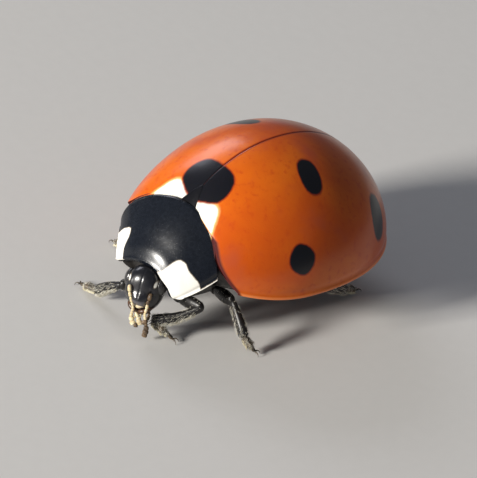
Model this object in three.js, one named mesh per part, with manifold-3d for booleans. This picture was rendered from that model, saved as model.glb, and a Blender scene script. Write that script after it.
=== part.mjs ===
// Seven-spot ladybird, Coccinella septempunctata, standing still with its head turned a little
// to its left. Millimetres, +Z up: the head points to -Y, the animal's left side to +X, and the
// six feet stand on one level. Each shell plate, limb segment and feeler is a solid of its own.

import * as THREE from 'three';
import { mergeVertices } from 'three/addons/utils/BufferGeometryUtils.js';
import Module from 'manifold-3d';

const wasm = await Module();
wasm.setup();

// ---- Driving dimensions, in mm and degrees ----

const GAP = 0.04;          // clearance between two neighbouring pieces
const RIM_Z = 1.5;         // the wing cases' rim above the floor

const CASES = {            // both wing cases, closed: a dome on an egg-shaped plan
  halfWidth: 2.8,
  front: 3.03,             // from the widest place to where the curve would close in front
  rear: 3.21,              // from the widest place to the tail
  height: 2.69,            // from the rim to the crest
  base: 2.41,              // from the widest place to the front edge, on the midline
  shoulder: 0.46,          // how far the shoulders reach past that edge
  planPower: 2.28,
  crestPower: 2.05,
  lift: 0.15,              // how the rim curves up towards the shoulders
  liftFrom: 0.8,
  cornerFrom: 55,          // angle down the side where the rounded shoulder corner begins
  cornerCut: 0.31,         // how far that corner falls back at the rim
  cornerPower: 2.2,
  thickness: 0.6,
};

const TRUNK = { inset: 0.66, belly: 0.55, fullWidth: 2.15, frontY: -2.36, divideY: -0.45 };

const SCUTELLUM = { halfWidth: 0.27, frontY: -2.4, tipY: -2.02, bottomZ: 2.75, topZ: 3.8 };

const TURN_Y = -2.45;      // the pronotum and the head turn sideways about this place
const PRONOTUM = {
  turn: 9.4,
  shift: -0.09,            // towards the animal's right
  hindHalfWidth: 1.53,
  hindY: -2.87,
  hindZ: 1.83,
  frontHalfWidth: 0.88,
  frontY: -3.7,
  frontZ: 1.21,
  sideBow: 0.06,
  crestHindY: -2.53,
  crestHindZ: 3.18,
  crestFrontY: -3.65,
  crestFrontZ: 1.85,
  crestBow: 0.1,
  rise: 1.3,               // powers of the arch over the back: its height and its reach
  reach: 1.56,
  thickness: 0.5,
};
const PROSTERNUM = { frontY: -3.2, frontZ: 1.0, hindY: -2.45, hindZ: 0.85 };

const HEAD = {
  turn: 8.1,
  y: -3.66,
  z: 1.19,
  halfWidth: 0.53,
  depth: 0.42,
  height: 0.6,
  boxiness: 2.3,           // power of the outline, where 2 is an ellipse
  chin: 0.22,              // how much narrower the head is at the mouth
};
const EYE = { x: 0.41, y: -3.6, z: 1.32, radii: [0.17, 0.24, 0.27] };
const LABRUM = { y: -3.9, z: 0.64, radii: [0.25, 0.17, 0.12] };
const JAWS = { y: -3.83, z: 0.52, radii: [0.27, 0.2, 0.16] };

// Legs: the joints from the body outwards, as they stand. The feet end on the floor.
const LEGS = {
  front_left: {
    coxa: [0.4, -2.85, 0.95], femur: [0.45, -2.85, 0.85], knee: [1.25, -2.75, 0.95],
    ankle: [0.46, -3.58, 0.42], toe: [0.93, -3.33, 0.2],
  },
  front_right: {
    coxa: [-0.4, -2.95, 0.95], femur: [-0.45, -2.95, 0.85], knee: [-0.74, -3.6, 0.74],
    ankle: [-1.4, -3.74, 0.25], toe: [-1.97, -3.74, 0.2],
  },
  mid_left: {
    coxa: [0.55, -1.85, 1.05], femur: [0.65, -1.88, 0.88], knee: [1.48, -2.0, 1.03],
    ankle: [2.14, -2.1, 0.42], toe: [2.36, -1.9, 0.2],
  },
  mid_right: {
    coxa: [-0.55, -1.85, 1.05], femur: [-0.65, -1.88, 0.88], knee: [-1.7, -2.12, 1.05],
    ankle: [-2.55, -2.0, 0.36], toe: [-3.02, -1.88, 0.2],
  },
  hind_left: {
    coxa: [0.65, -0.2, 1.05], femur: [0.78, -0.15, 0.86], knee: [1.98, 0.5, 0.82],
    ankle: [1.74, 1.45, 0.36], toe: [1.62, 1.9, 0.2],
  },
  hind_right: {
    coxa: [-0.65, -0.2, 1.05], femur: [-0.78, -0.15, 0.86], knee: [-1.95, 0.52, 0.84],
    ankle: [-1.92, 1.5, 0.38], toe: [-2.12, 2.02, 0.2],
  },
};
const LIMB_RADII = {       // along each segment, from the body outwards
  coxa: [0.3, 0.3],
  femur: [0.25, 0.29, 0.25],
  tibia: [0.24, 0.25, 0.25],
  tarsus: [0.24, 0.25, 0.23],
};
const LIMB_SIDES = 8;

// Feelers, in the head's own unturned frame, from their sockets to their clubs.
const ANTENNAE = {
  left: [[0.4, -3.95, 1.12], [0.43, -4.02, 0.8], [0.44, -4.08, 0.4]],
  right: [[-0.34, -3.88, 1.05], [-0.22, -3.98, 0.7], [-0.1, -4.02, 0.36]],
};
const ANTENNA_RADII = [0.22, 0.25];
const PALPS = {
  left: [[0.17, -3.86, 0.5], [0.2, -3.98, 0.3]],
  right: [[-0.17, -3.86, 0.5], [-0.2, -3.98, 0.3]],
};
const PALP_RADII = [0.22, 0.24];

// ---- Colours ----

const ORANGE = { color: 0xd95a14, roughness: 0.28, metalness: 0 };
const BLACK = { color: 0x14151a, roughness: 0.3, metalness: 0 };
const BROWN_BLACK = { color: 0x1c1714, roughness: 0.5, metalness: 0 };
const EYE_BLACK = { color: 0x0b0c10, roughness: 0.2, metalness: 0 };
const CREAM = { color: 0xd8c79b, roughness: 0.5, metalness: 0 };

// ---- Making closed solids ----

function signedVolume(geometry) {
  const { array } = geometry.attributes.position;
  const corner = (i) => new THREE.Vector3().fromArray(array, 3 * geometry.index.array[i]);
  let volume = 0;
  for (let i = 0; i < geometry.index.count; i += 3) {
    volume += corner(i).dot(corner(i + 1).cross(corner(i + 2))) / 6;
  }
  return volume;
}

// A closed geometry as a manifold, with its faces turned outwards.
function solidOf(geometry) {
  geometry.deleteAttribute('normal');
  geometry.deleteAttribute('uv');
  const merged = mergeVertices(geometry, 1e-5);
  const inverted = signedVolume(merged) < 0;
  const corners = [];
  for (let i = 0; i < merged.index.count; i += 3) {
    const [a, b, c] = merged.index.array.slice(i, i + 3);
    if (a !== b && b !== c && c !== a) corners.push(a, inverted ? c : b, inverted ? b : c);
  }
  return new wasm.Manifold(new wasm.Mesh({
    numProp: 3,
    vertProperties: new Float32Array(merged.attributes.position.array),
    triVerts: new Uint32Array(corners),
  }));
}

// A closed skin over rings that hold equally many points; both ends are fanned shut.
function loft(rings) {
  const count = rings[0].length;
  const points = rings.flat();
  const index = [];
  for (let r = 0; r + 1 < rings.length; r += 1) {
    for (let i = 0; i < count; i += 1) {
      const a = r * count + i;
      const b = r * count + (i + 1) % count;
      index.push(a, b, a + count, b, b + count, a + count);
    }
  }
  const middleOf = (ring) => ring
    .reduce((sum, point) => sum.add(point), new THREE.Vector3())
    .divideScalar(count);
  points.push(middleOf(rings[0]), middleOf(rings.at(-1)));
  const lastRing = (rings.length - 1) * count;
  for (let i = 0; i < count; i += 1) {
    const next = (i + 1) % count;
    index.push(points.length - 2, next, i);
    index.push(points.length - 1, lastRing + i, lastRing + next);
  }
  const geometry = new THREE.BufferGeometry().setFromPoints(points);
  geometry.setIndex(index);
  return geometry;
}

function steps(from, to, count) {
  return Array.from({ length: count + 1 }, (_, i) => from + (to - from) * i / count);
}

function slab(low, high) {
  const size = high.map((value, axis) => value - low[axis]);
  const geometry = new THREE.BoxGeometry(...size);
  geometry.translate(...high.map((value, axis) => (value + low[axis]) / 2));
  return solidOf(geometry);
}

function ellipsoid([x, y, z], radii, grow) {
  const geometry = new THREE.SphereGeometry(1, 12, 8);
  geometry.scale(...radii.map((radius) => radius + grow));
  geometry.translate(x, y, z);
  return geometry;
}

// Turns a geometry sideways with the head or the pronotum.
function turned(geometry, degrees, shift = 0) {
  geometry.translate(0, -TURN_Y, 0);
  geometry.rotateZ(THREE.MathUtils.degToRad(degrees));
  geometry.translate(shift, TURN_Y, 0);
  return geometry;
}

// A round-ended limb through evenly spaced radii, from one joint to the next.
function limb(from, to, radii, grow) {
  const start = new THREE.Vector3(...from);
  const span = new THREE.Vector3(...to).sub(start);
  const length = span.length();
  const widths = radii.map((radius) => radius + grow);
  const first = widths[0];
  const last = widths.at(-1);
  const profile = [[0, -first], [0.7 * first, -0.7 * first]];
  widths.forEach((width, i) => profile.push([width, length * i / (widths.length - 1)]));
  profile.push([0.7 * last, length + 0.7 * last], [0, length + last]);
  const points = profile.map(([x, y]) => new THREE.Vector2(x, y));
  const geometry = new THREE.LatheGeometry(points, LIMB_SIDES);
  const upright = new THREE.Vector3(0, 1, 0);
  geometry.applyQuaternion(new THREE.Quaternion().setFromUnitVectors(upright, span.normalize()));
  geometry.translate(...start);
  return geometry;
}

// ---- The domed body: wing cases outside, trunk inside ----

// Half-width, crest and rim of the dome at a place along the body, inset from the outer surface.
function domeSection(y, inset) {
  const ahead = y < 0;
  const length = ahead ? CASES.front : CASES.rear - inset;
  const ratio = Math.min(Math.abs(y) / length, 1);
  const plan = Math.sqrt(1 - ratio ** CASES.planPower);
  const crest = Math.sqrt(1 - ratio ** CASES.crestPower);
  const lifted = Math.max(0, -y - CASES.liftFrom);
  return {
    halfWidth: ahead ? CASES.halfWidth * plan - inset : (CASES.halfWidth - inset) * plan,
    top: RIM_Z + (ahead ? CASES.height * crest - inset : (CASES.height - inset) * crest),
    rim: RIM_Z + CASES.lift * lifted ** 2,
    advance: ahead ? CASES.shoulder * (y / CASES.base) ** 2 : 0,
  };
}

// A point of the dome at an angle from its crest, 90 at the rim. Nearest the front, the rings
// fall back towards the rim, which rounds the shoulder corners.
function domePoint(ringY, angle, inset) {
  const low = Math.max(0, (Math.abs(angle) - CASES.cornerFrom) / (90 - CASES.cornerFrom));
  const nearFront = Math.min(0, ringY / CASES.base) ** 4;
  const y = ringY + CASES.cornerCut * low ** CASES.cornerPower * nearFront;
  const { halfWidth, top, rim, advance } = domeSection(y, inset);
  const turn = THREE.MathUtils.degToRad(angle);
  const across = Math.sin(turn);
  const z = rim + (top - rim) * Math.abs(Math.cos(turn));
  return new THREE.Vector3(halfWidth * across, y - advance * across ** 2, z);
}

// One ring of the dome. depth > 0 adds a rounded belly, skirt > 0 a straight drop below the rim.
function domeRing(y, inset, { depth = 0, skirt = 0 }, arcSteps) {
  const ring = steps(-90, 90, arcSteps).map((angle) => domePoint(y, angle, inset));
  const rim = ring.at(-1);
  if (skirt > 0) {
    ring.push(new THREE.Vector3(rim.x, rim.y, rim.z - skirt));
    ring.push(new THREE.Vector3(-rim.x, rim.y, rim.z - skirt));
  }
  if (depth > 0) {
    const sag = depth * Math.min(1, rim.x / TRUNK.fullWidth);
    steps(90, -90, arcSteps / 2).slice(1, -1).forEach((angle) => {
      const turn = THREE.MathUtils.degToRad(angle);
      ring.push(new THREE.Vector3(
        rim.x * Math.sin(turn), rim.y, rim.z - sag * Math.cos(turn)));
    });
  }
  return ring;
}

function dome(frontY, inset, underside, lengthSteps, arcSteps) {
  const tail = CASES.rear - inset;
  const ahead = steps(frontY, 0, Math.round(lengthSteps * 0.45)).slice(0, -1);
  const behind = steps(0, 87.5, Math.round(lengthSteps * 0.55))
    .map((angle) => tail * Math.sin(THREE.MathUtils.degToRad(angle)));
  return solidOf(loft([...ahead, ...behind].map((y) => domeRing(y, inset, underside, arcSteps))));
}

function wingCase(side, grow) {
  const shell = dome(-CASES.base - grow, -grow, {}, 15, 20)
    .subtract(dome(-CASES.base - 0.4, CASES.thickness + grow, { skirt: 1 }, 10, 14));
  const near = (GAP / 2 - grow) * side;
  const far = 4 * side;
  return shell.intersect(slab([Math.min(near, far), -4, 0], [Math.max(near, far), 4, 6]));
}

function scutellum(grow) {
  const { halfWidth, frontY, tipY, bottomZ, topZ } = SCUTELLUM;
  const outline = new THREE.Shape([
    new THREE.Vector2(-halfWidth - 2 * grow, frontY - grow),
    new THREE.Vector2(halfWidth + 2 * grow, frontY - grow),
    new THREE.Vector2(0, tipY + 2 * grow),
  ]);
  const depth = topZ - bottomZ + 2 * grow;
  const prism = new THREE.ExtrudeGeometry(outline, { depth, bevelEnabled: false });
  prism.translate(0, 0, bottomZ - grow);
  return solidOf(prism).intersect(dome(-CASES.base, -grow, {}, 15, 20));
}

function trunk(part, grow) {
  const body = dome(TRUNK.frontY - grow, TRUNK.inset - grow, { depth: TRUNK.belly + grow }, 10, 12);
  const divide = TRUNK.divideY;
  const span = part === 'thorax' ? [-4, divide - GAP / 2 + grow] : [divide + GAP / 2 - grow, 4];
  return body.intersect(slab([-4, span[0], 0], [4, span[1], 6]));
}

// ---- Pronotum and prothorax ----

// The arch of the pronotum at v, from 0 at its front edge to 1 at its hind edge, moved inwards.
function pronotumRing(v, inset, lower) {
  const P = PRONOTUM;
  const mix = (front, hind) => front + (hind - front) * v;
  const bow = Math.sin(Math.PI * Math.min(Math.max(v, 0), 1));
  const slope = Math.atan2(P.crestHindZ - P.crestFrontZ, P.crestHindY - P.crestFrontY);
  const outY = -Math.sin(slope);
  const outZ = Math.cos(slope);
  const lift = P.crestBow * bow - inset;
  const halfWidth = mix(P.frontHalfWidth, P.hindHalfWidth) + P.sideBow * bow - inset;
  const edgeY = mix(P.frontY, P.hindY);
  const edgeZ = mix(P.frontZ, P.hindZ);
  const crestY = mix(P.crestFrontY, P.crestHindY) + outY * lift;
  const crestZ = mix(P.crestFrontZ, P.crestHindZ) + outZ * lift;
  const ring = steps(-90, 90, 14).map((angle) => {
    const turn = THREE.MathUtils.degToRad(angle);
    const flat = Math.abs(Math.cos(turn));
    return new THREE.Vector3(
      halfWidth * Math.sin(turn),
      edgeY + (crestY - edgeY) * flat ** P.reach,
      edgeZ + (crestZ - edgeZ) * flat ** P.rise,
    );
  });
  return ring.concat(lower({ halfWidth, edgeY, edgeZ, outY, outZ, mix }));
}

function pronotum(grow) {
  const hood = (from, to, count, inset, lower) => solidOf(turned(
    loft(steps(from, to, count).map((v) => pronotumRing(v, inset, lower))),
    PRONOTUM.turn,
    PRONOTUM.shift,
  ));
  const chord = ({ halfWidth, edgeY, edgeZ, outY, outZ }) => [1, -1].map((side) => (
    new THREE.Vector3(side * halfWidth, edgeY - outY * grow, edgeZ - outZ * grow - 0.001)));
  const dropped = ({ halfWidth, edgeY, edgeZ, outY, outZ }) => [1, -1].map((side) => (
    new THREE.Vector3(side * halfWidth, edgeY - outY, edgeZ - outZ)));
  return hood(-grow, 1 + grow, 6, -grow, chord)
    .subtract(hood(-0.3, 1.3, 4, PRONOTUM.thickness + grow, dropped));
}

function prothorax(grow) {
  const lowerArch = ({ halfWidth, edgeY, edgeZ, mix }) => steps(90, -90, 10).slice(1, -1)
    .map((angle) => {
      const turn = THREE.MathUtils.degToRad(angle);
      const flat = Math.cos(turn);
      return new THREE.Vector3(
        halfWidth * Math.sin(turn),
        edgeY + (mix(PROSTERNUM.frontY, PROSTERNUM.hindY) - edgeY) * flat,
        edgeZ + (mix(PROSTERNUM.frontZ, PROSTERNUM.hindZ) - grow - edgeZ) * flat,
      );
    });
  const inset = PRONOTUM.thickness + 1.5 * GAP - grow;
  const rings = steps(0.04 - grow, 0.97 + grow, 5).map((v) => pronotumRing(v, inset, lowerArch));
  return solidOf(turned(loft(rings), PRONOTUM.turn, PRONOTUM.shift));
}

// ---- Head ----

function head(grow) {
  const power = 2 / HEAD.boxiness;
  const bend = (value) => Math.sign(value) * Math.abs(value) ** power;
  const rings = steps(-84, 84, 8).map((rise) => {
    const height = Math.sin(THREE.MathUtils.degToRad(rise));
    const size = Math.cos(THREE.MathUtils.degToRad(rise)) ** power;
    const width = 1 - HEAD.chin * Math.max(0, -height);
    return steps(0, 360, 16).slice(0, -1).map((angle) => {
      const turn = THREE.MathUtils.degToRad(angle);
      return new THREE.Vector3(
        (HEAD.halfWidth + grow) * size * width * bend(Math.cos(turn)),
        HEAD.y + (HEAD.depth + grow) * size * bend(Math.sin(turn)),
        HEAD.z + (HEAD.height + grow) * bend(height),
      );
    });
  });
  return solidOf(turned(loft(rings), HEAD.turn));
}

function headEllipsoid({ x = 0, y, z, radii }, side, grow) {
  return solidOf(turned(ellipsoid([side * x, y, z], radii, grow), HEAD.turn));
}

// A bent feeler: round-ended lengths joined at their bends, kept above the floor.
function feeler(points, [thin, thick], grow) {
  const radiusAt = (i) => thin + (thick - thin) * i / (points.length - 1);
  const lengths = points.slice(1).map((point, i) => (
    solidOf(turned(limb(points[i], point, [radiusAt(i), radiusAt(i + 1)], grow), HEAD.turn))));
  return lengths.reduce((whole, length) => whole.add(length));
}

// ---- Legs ----

const SEGMENT_JOINTS = {
  coxa: ['coxa', 'femur'],
  femur: ['femur', 'knee'],
  tibia: ['knee', 'ankle'],
  tarsus: ['ankle', 'toe'],
};

function legSegment(leg, segment, grow) {
  const [from, to] = SEGMENT_JOINTS[segment];
  return solidOf(limb(LEGS[leg][from], LEGS[leg][to], LIMB_RADII[segment], grow));
}

// ---- The animal, from the pieces that keep their whole shape to those fitted round them ----

const SIDES = { left: 1, right: -1 };
const pieces = [];

function add(name, finish, shape) {
  pieces.push({ name, finish, shape });
}

for (const [side, sign] of Object.entries(SIDES)) {
  add(`eye_${side}`, EYE_BLACK, (grow) => headEllipsoid(EYE, sign, grow));
}
add('labrum', CREAM, (grow) => headEllipsoid(LABRUM, 1, grow));
add('head', BLACK, head);
add('scutellum', BLACK, scutellum);
for (const [side, sign] of Object.entries(SIDES)) {
  add(`elytron_${side}`, ORANGE, (grow) => wingCase(sign, grow));
}
add('pronotum', BLACK, pronotum);
add('prothorax', BROWN_BLACK, prothorax);
add('thorax', BROWN_BLACK, (grow) => trunk('thorax', grow));
add('abdomen', BROWN_BLACK, (grow) => trunk('abdomen', grow));
add('mandibles', BROWN_BLACK, (grow) => headEllipsoid(JAWS, 1, grow));
for (const segment of Object.keys(SEGMENT_JOINTS)) {
  for (const leg of Object.keys(LEGS)) {
    add(`${leg}_${segment}`, BROWN_BLACK, (grow) => legSegment(leg, segment, grow));
  }
}
for (const side of Object.keys(SIDES)) {
  add(`palp_${side}`, BROWN_BLACK, (grow) => feeler(PALPS[side], PALP_RADII, grow));
}
for (const side of Object.keys(SIDES)) {
  add(`antenna_${side}`, CREAM, (grow) => feeler(ANTENNAE[side], ANTENNA_RADII, grow));
}

function boxesMeet(a, b) {
  const first = a.boundingBox();
  const second = b.boundingBox();
  return [0, 1, 2].every((axis) => (
    first.min[axis] < second.max[axis] && second.min[axis] < first.max[axis]));
}

function largestBody(solid) {
  return solid.decompose().reduce((a, b) => (a.volume() > b.volume() ? a : b));
}

function meshOf(name, finish, solid) {
  const { vertProperties, triVerts } = solid.getMesh();
  const geometry = new THREE.BufferGeometry();
  geometry.setAttribute('position', new THREE.BufferAttribute(vertProperties, 3));
  geometry.setIndex(new THREE.BufferAttribute(triVerts, 1));
  geometry.computeVertexNormals();
  const mesh = new THREE.Mesh(geometry, new THREE.MeshStandardMaterial(finish));
  mesh.name = name;
  return mesh;
}

const ladybird = new THREE.Group();
const aboveFloor = slab([-6, -6, 0], [6, 6, 8]);

pieces.forEach(({ name, finish, shape }, order) => {
  let solid = shape(0).intersect(aboveFloor);
  for (const earlier of pieces.slice(0, order)) {
    const kept = earlier.shape(GAP);
    if (boxesMeet(solid, kept)) solid = solid.subtract(kept);
  }
  ladybird.add(meshOf(name, finish, largestBody(solid)));
});

// The origin lies on the floor, below the middle of the whole animal.
const extent = new THREE.Box3().setFromObject(ladybird);
const middle = extent.getCenter(new THREE.Vector3());
ladybird.position.set(-middle.x, -middle.y, -extent.min.z);

export default ladybird;
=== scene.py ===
"""Seven-spot ladybird: the visual model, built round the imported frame.

Lengths are millimetres in the animal's own frame, as in the CAD source: the head points to -Y,
the animal's left side to +X and the floor is z = 0. place() takes them to metres in the row frame.
"""

import math

import bpy
import numpy as np
from mathutils import Matrix, Vector


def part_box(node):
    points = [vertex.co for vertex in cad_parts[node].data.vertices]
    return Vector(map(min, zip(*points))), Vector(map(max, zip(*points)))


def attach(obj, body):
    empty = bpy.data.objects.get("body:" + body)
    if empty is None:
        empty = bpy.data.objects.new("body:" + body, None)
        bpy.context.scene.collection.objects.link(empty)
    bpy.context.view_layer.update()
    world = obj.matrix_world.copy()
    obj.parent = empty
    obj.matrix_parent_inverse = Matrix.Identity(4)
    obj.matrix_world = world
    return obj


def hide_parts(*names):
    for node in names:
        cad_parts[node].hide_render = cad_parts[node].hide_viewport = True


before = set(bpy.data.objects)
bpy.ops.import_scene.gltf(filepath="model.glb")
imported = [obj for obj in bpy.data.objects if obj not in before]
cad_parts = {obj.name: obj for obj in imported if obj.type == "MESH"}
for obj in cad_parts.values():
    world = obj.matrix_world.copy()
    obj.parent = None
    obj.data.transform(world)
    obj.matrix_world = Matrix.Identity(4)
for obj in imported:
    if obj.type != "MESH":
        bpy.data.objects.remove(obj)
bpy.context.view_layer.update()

MM = 0.001
SEED = 7
FAR = 9.0                # a distance from a mark that leaves its colour out
UP = (0.0, 0.0, 1.0)
ACROSS = (1.0, 0.0, 0.0)

# ---- Sizes shared with the frame, in mm and degrees ----

RIM_Z = 1.5
DOME = {
    "half_width": 2.8, "front": 3.03, "rear": 3.21, "height": 2.69, "base": 2.41,
    "shoulder": 0.46, "plan_power": 2.28, "crest_power": 2.05, "lift": 0.15, "lift_from": 0.8,
}
TURN_Y = -2.45
PRONOTUM = {
    "turn": 9.4, "shift": -0.09, "side_bow": 0.06, "crest_bow": 0.1, "rise": 1.3, "reach": 1.56,
    "front_half": 0.88, "front_y": -3.7, "front_z": 1.21,
    "hind_half": 1.53, "hind_y": -2.87, "hind_z": 1.83,
    "crest_front_y": -3.65, "crest_front_z": 1.85, "crest_hind_y": -2.53, "crest_hind_z": 3.18,
}
HEAD = {"turn": 8.1, "twist": 20.0, "y": -3.66, "z": 1.19}
# The joints of each leg: coxa, femur, knee, ankle and toe.
LEGS = {
    "front_left": (
        (0.4, -2.85, 0.95), (0.45, -2.85, 0.85), (1.25, -2.75, 0.95), (0.46, -3.58, 0.42),
        (0.97, -3.31, 0.09),
    ),
    "front_right": (
        (-0.4, -2.95, 0.95), (-0.45, -2.95, 0.85), (-0.74, -3.6, 0.74), (-1.4, -3.74, 0.25),
        (-2.03, -3.74, 0.09),
    ),
    "mid_left": (
        (0.55, -1.85, 1.05), (0.65, -1.88, 0.88), (1.48, -2.0, 1.03), (2.14, -2.1, 0.42),
        (2.38, -1.93, 0.09),
    ),
    "mid_right": (
        (-0.55, -1.85, 1.05), (-0.65, -1.88, 0.88), (-1.7, -2.12, 1.05), (-2.55, -2.0, 0.36),
        (-3.08, -1.86, 0.09),
    ),
    "hind_left": (
        (0.65, -0.2, 1.05), (0.78, -0.15, 0.86), (1.98, 0.5, 0.82), (1.74, 1.45, 0.36),
        (1.6, 1.98, 0.09),
    ),
    "hind_right": (
        (-0.65, -0.2, 1.05), (-0.78, -0.15, 0.86), (-1.95, 0.52, 0.84), (-1.92, 1.5, 0.38),
        (-2.14, 2.08, 0.09),
    ),
}

# The wing cases' seam and tail show how far the frame was shifted to centre it.
TAIL_Y = DOME["rear"] * math.sin(math.radians(87.5))
LEFT_CASE, RIGHT_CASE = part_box("elytron_left"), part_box("elytron_right")
SEAM_X_M = (LEFT_CASE[0].x + RIGHT_CASE[1].x) / 2
ORIGIN = np.array([SEAM_X_M, LEFT_CASE[1].y - TAIL_Y * MM, 0.0])


def place(points):
    """Animal-frame millimetres to row-frame metres."""
    return np.asarray(points, float) * MM + ORIGIN


def add_object(name, data):
    made = bpy.data.objects.new(name, data)
    bpy.context.collection.objects.link(made)
    return made


# ---- Camera: the photograph's view ----

IMAGE_HEIGHT_PX = 478
SENSOR_MM = 36.0
VIEW = {
    "azimuth": 46.1, "elevation": 32.4, "roll": 7.58, "px_per_mm": 41.09, "distance": 120.0,
    "aim_right": -0.357, "aim_up": 0.843, "pivot": (0.0, 0.0, 0.3),
}


def view_axes():
    azimuth, elevation, roll = (math.radians(VIEW[k]) for k in ("azimuth", "elevation", "roll"))
    level = np.array([math.cos(azimuth), math.sin(azimuth), 0.0])
    flat = np.array([math.sin(azimuth), -math.cos(azimuth), 0.0])
    back = flat * math.cos(elevation) + np.multiply(UP, math.sin(elevation))
    upright = np.cross(back, level)
    right = math.cos(roll) * level + math.sin(roll) * upright
    up = math.cos(roll) * upright - math.sin(roll) * level
    return right, up, back


def make_camera():
    right, up, back = view_axes()
    aim = np.array(VIEW["pivot"]) + VIEW["aim_right"] * right + VIEW["aim_up"] * up
    data = bpy.data.cameras.new("camera")
    half_height = IMAGE_HEIGHT_PX / 2 / VIEW["px_per_mm"]
    data.sensor_width = SENSOR_MM
    data.lens = SENSOR_MM / 2 * VIEW["distance"] / half_height
    data.clip_start, data.clip_end = 0.01, 5.0
    camera = add_object("camera", data)
    turn = Matrix(np.array([right, up, back]).T.tolist()).to_4x4()
    camera.matrix_world = Matrix.Translation(Vector(place(aim + VIEW["distance"] * back))) @ turn
    bpy.context.scene.camera = camera


# ---- Materials ----


class Shader:
    """A procedural material under construction."""

    def __init__(self, name):
        self.material = bpy.data.materials.new(name)
        self.material.use_nodes = True
        self.tree = self.material.node_tree
        self.tree.nodes.clear()
        self.surface = self.node("BsdfPrincipled", {})
        self.node("OutputMaterial", {"Surface": self.surface.outputs["BSDF"]})
        place_in_m = self.node("TexCoord", {}).outputs["Object"]
        scaling = self.node("VectorMath", {0: place_in_m, "Scale": 1 / MM}, operation="SCALE")
        self.millimetres = scaling.outputs["Vector"]

    def put(self, socket, value):
        if isinstance(value, bpy.types.NodeSocket):
            self.tree.links.new(value, socket)
        elif isinstance(value, tuple) and len(value) == 3 and socket.type == "RGBA":
            socket.default_value = (*value, 1.0)
        else:
            socket.default_value = value

    def node(self, kind, sockets, **settings):
        node = self.tree.nodes.new(f"ShaderNode{kind}")
        for name, value in settings.items():
            setattr(node, name, value)
        for key, value in sockets.items():
            self.put(node.inputs[key], value)
        return node

    def set(self, **inputs):
        """Set the surface's sockets, named with _ for a blank."""
        for name, value in inputs.items():
            self.put(self.surface.inputs[name.replace("_", " ")], value)

    def attribute(self, name):
        return self.node("Attribute", {}, attribute_name=name).outputs["Fac"]

    def math(self, operation, *values):
        return self.node("Math", dict(enumerate(values)), operation=operation).outputs[0]

    def linear(self, value, gain, offset):
        return self.math("MULTIPLY_ADD", value, gain, offset)

    def step(self, value, low, high):
        """0 below low, 1 above high, smooth between."""
        sockets = {"Value": value, "From Min": low, "From Max": high}
        return self.node("MapRange", sockets, interpolation_type="SMOOTHSTEP").outputs[0]

    def mix(self, factor, first, second):
        return self.node("Mix", {0: factor, 6: first, 7: second}, data_type="RGBA").outputs[2]

    def layers(self, colour, *rows):
        """Lay colours over one another, each as its value goes from low to high."""
        for value, low, high, tint in rows:
            colour = self.mix(self.step(value, low, high), colour, tint)
        return colour

    def noise(self, per_mm, detail=3.0, distortion=0.0):
        sockets = {"Scale": per_mm, "Detail": detail, "Distortion": distortion}
        return self.node("TexNoise", {"Vector": self.millimetres, **sockets}).outputs["Fac"]

    def cells(self, per_mm):
        sockets = {"Vector": self.millimetres, "Scale": per_mm}
        return self.node("TexVoronoi", sockets).outputs["Distance"]

    def bump(self, height, depth_mm, strength):
        sockets = {"Strength": strength, "Distance": depth_mm * MM, "Height": height}
        return self.node("Bump", sockets).outputs["Normal"]

    def glowing(self, weight, radius, scale):
        """The finished material, with light let through to these depths in metres."""
        self.set(Subsurface_Weight=weight, Subsurface_Radius=radius, Subsurface_Scale=scale)
        return self.material


def wing_case_material():
    s = Shader("wing_case_chitin")
    fine = s.noise(7.0, 4.0)
    ragged = s.linear(s.noise(9.0, 3.0), 0.04, -0.02)
    pore = s.cells(11.0)
    # lip marks the painted shade along the front margin, low down beside the pronotum.
    lip = s.step(s.attribute("lip"), 0.13, 0.03)
    seam = s.attribute("seam")
    white = s.math("ADD", s.attribute("ivory"), ragged)
    spot = s.math("ADD", s.attribute("spot"), ragged)
    blotch = s.step(s.noise(0.55, 4.0, 0.4), 0.35, 0.65)
    colour = s.layers(
        s.mix(blotch, (0.60, 0.090, 0.004), (0.70, 0.140, 0.005)),
        (fine, 0.5, 0.8, (0.56, 0.072, 0.004)),
        # A faint darker, pinker mottle at random places, a painted reflection of the surroundings.
        (s.noise(0.8, 3.0, 0.2), 0.52, 0.74, (0.53, 0.085, 0.022)),
        # The thin margin lets more light through than the dome and is painted a lighter orange for
        # it; the pores' floors are painted darker, as painted shade in the pits.
        (s.attribute("rim"), 0.07, 0.02, (0.88, 0.24, 0.06)),
        (pore, 0.10, 0.03, (0.52, 0.065, 0.004)),
    )
    # Painted shade: the front margin is painted near-black low down, where the case meets the
    # pronotum; the seam is a dark line.
    colour = s.mix(lip, colour, (0.06, 0.003, 0.003))
    colour = s.layers(
        colour,
        (seam, 0.07, 0.015, (0.30, 0.03, 0.004)),
        (seam, 0.010, 0.006, (0.10, 0.014, 0.004)),
        # Ivory triangles beside the scutellum fade to yellow before the orange.
        (white, 0.08, -0.01, (0.90, 0.50, 0.17)),
        (white, 0.012, -0.03, (0.93, 0.89, 0.78)),
        # Black spots, with a thin red-brown ring where the pigment thins out.
        (spot, 0.055, 0.0, (0.26, 0.026, 0.005)),
        (spot, 0.012, -0.02, (0.005, 0.005, 0.008)),
    )
    relief = s.linear(s.step(pore, 0.22, 0.06), -1.0, s.math("MULTIPLY", fine, 0.35))
    rough = s.linear(lip, 0.5, s.linear(fine, 0.08, 0.26))
    s.set(Base_Color=colour, Roughness=rough, Normal=s.bump(relief, 0.003, 0.5))
    s.set(Coat_Weight=s.linear(lip, -0.2, 0.2), Coat_Roughness=0.16, Specular_IOR_Level=0.36)
    return s.glowing(0.08, (0.0004, 0.00015, 0.00005), 0.6)


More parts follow.
